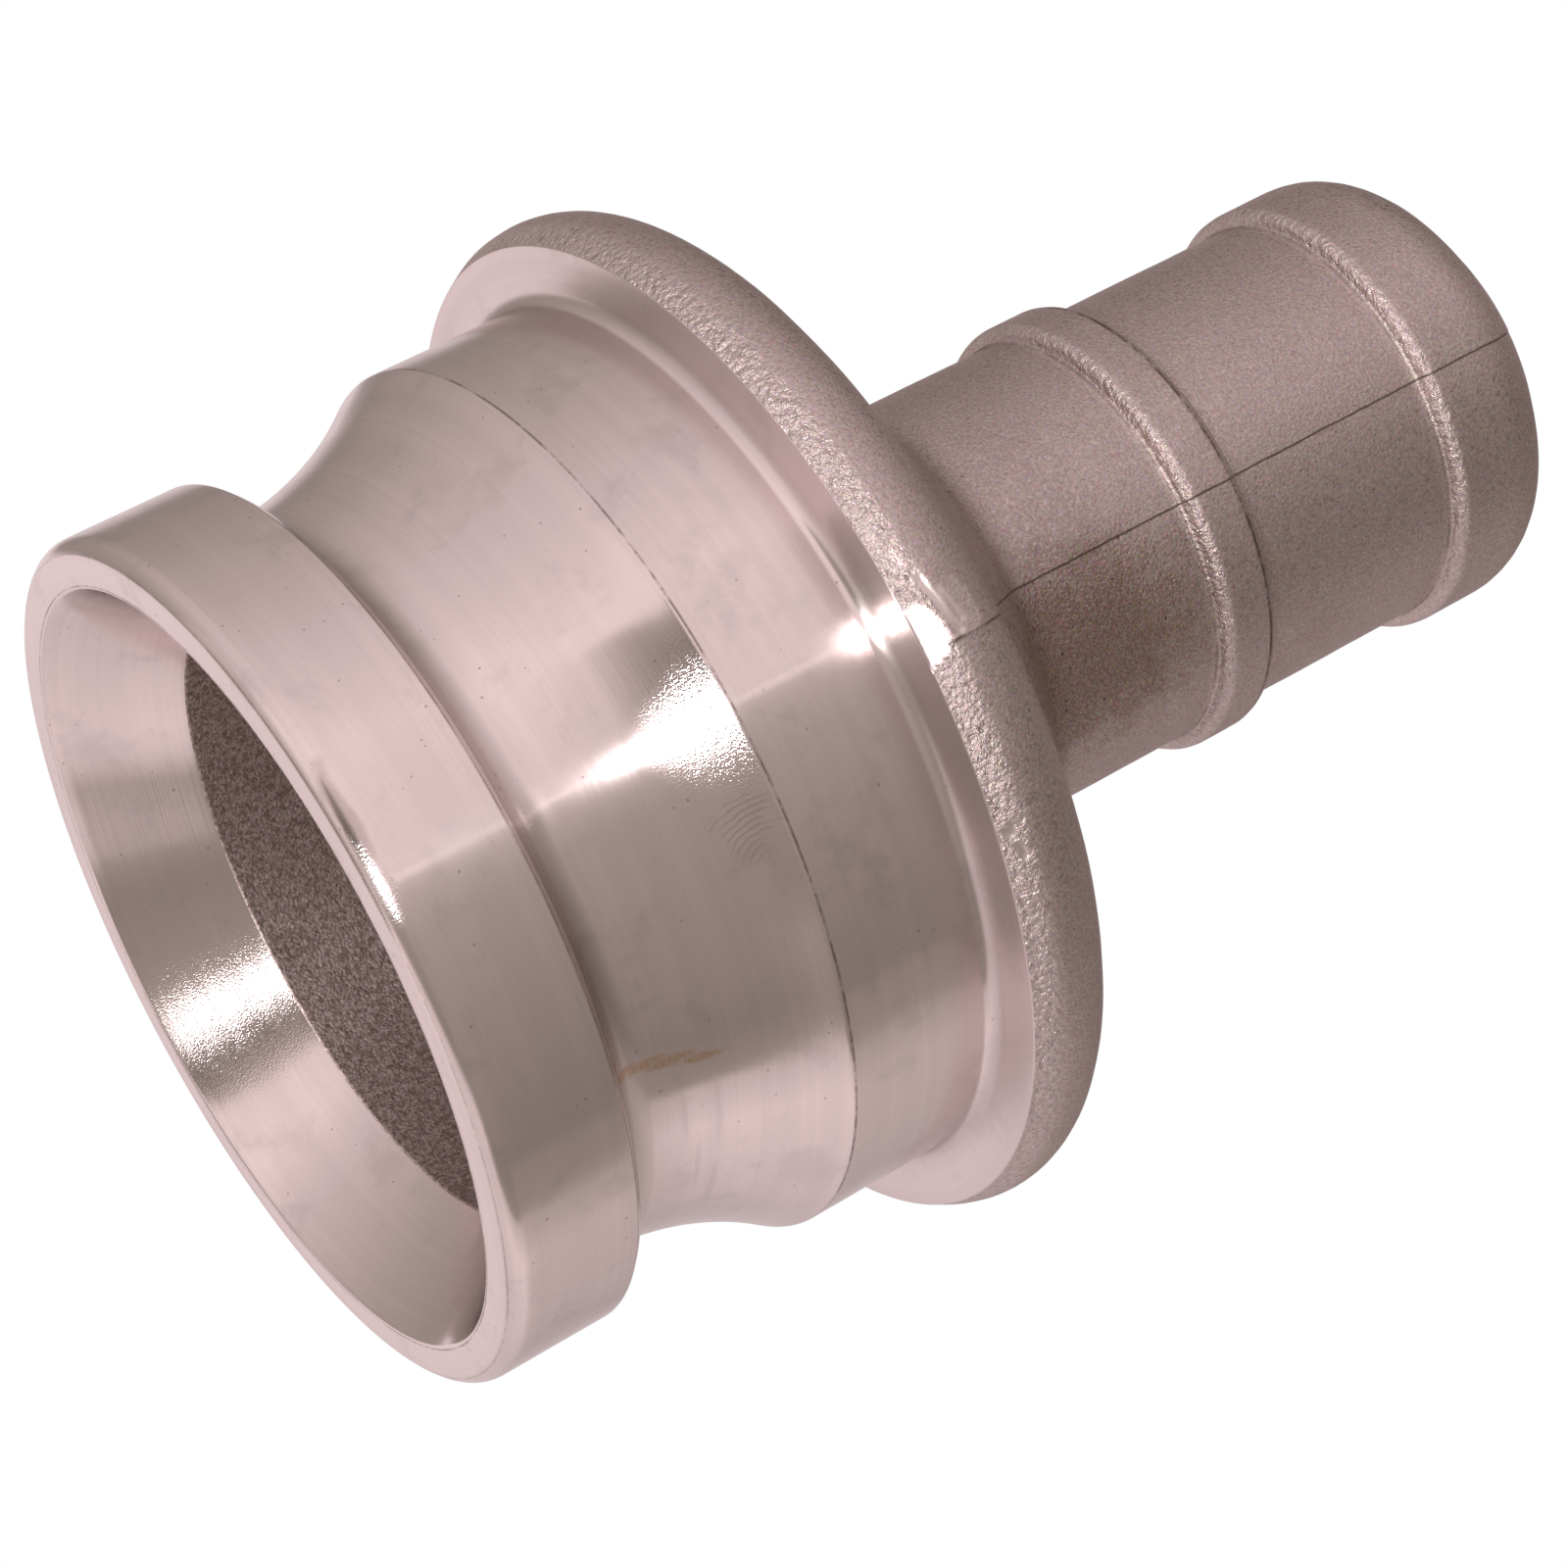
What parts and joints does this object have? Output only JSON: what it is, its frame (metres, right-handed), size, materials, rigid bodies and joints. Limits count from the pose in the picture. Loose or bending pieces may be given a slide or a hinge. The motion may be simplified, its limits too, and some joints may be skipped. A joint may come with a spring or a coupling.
{
  "type": "hose tail adapter",
  "caption": "Cam-and-groove male adapter that steps down to a ribbed hose tail, one aluminium casting with a turned coupling end, for joining a hose to a quick coupler.",
  "frame": {"origin": "centre of the flat sealing face at the mouth, on which the part stands", "axes": "+Z runs along the axis from the mouth to the hose tail; X and Y are any two directions across it"},
  "size_m": [0.1106, 0.1106, 0.1501],
  "materials": {
    "cast_aluminium": "turned satin coupling end, the rest matte and granular as cast"
  },
  "bodies": {
    "root": {"adapter_body": "cast_aluminium"}
  },
  "joints": []
}
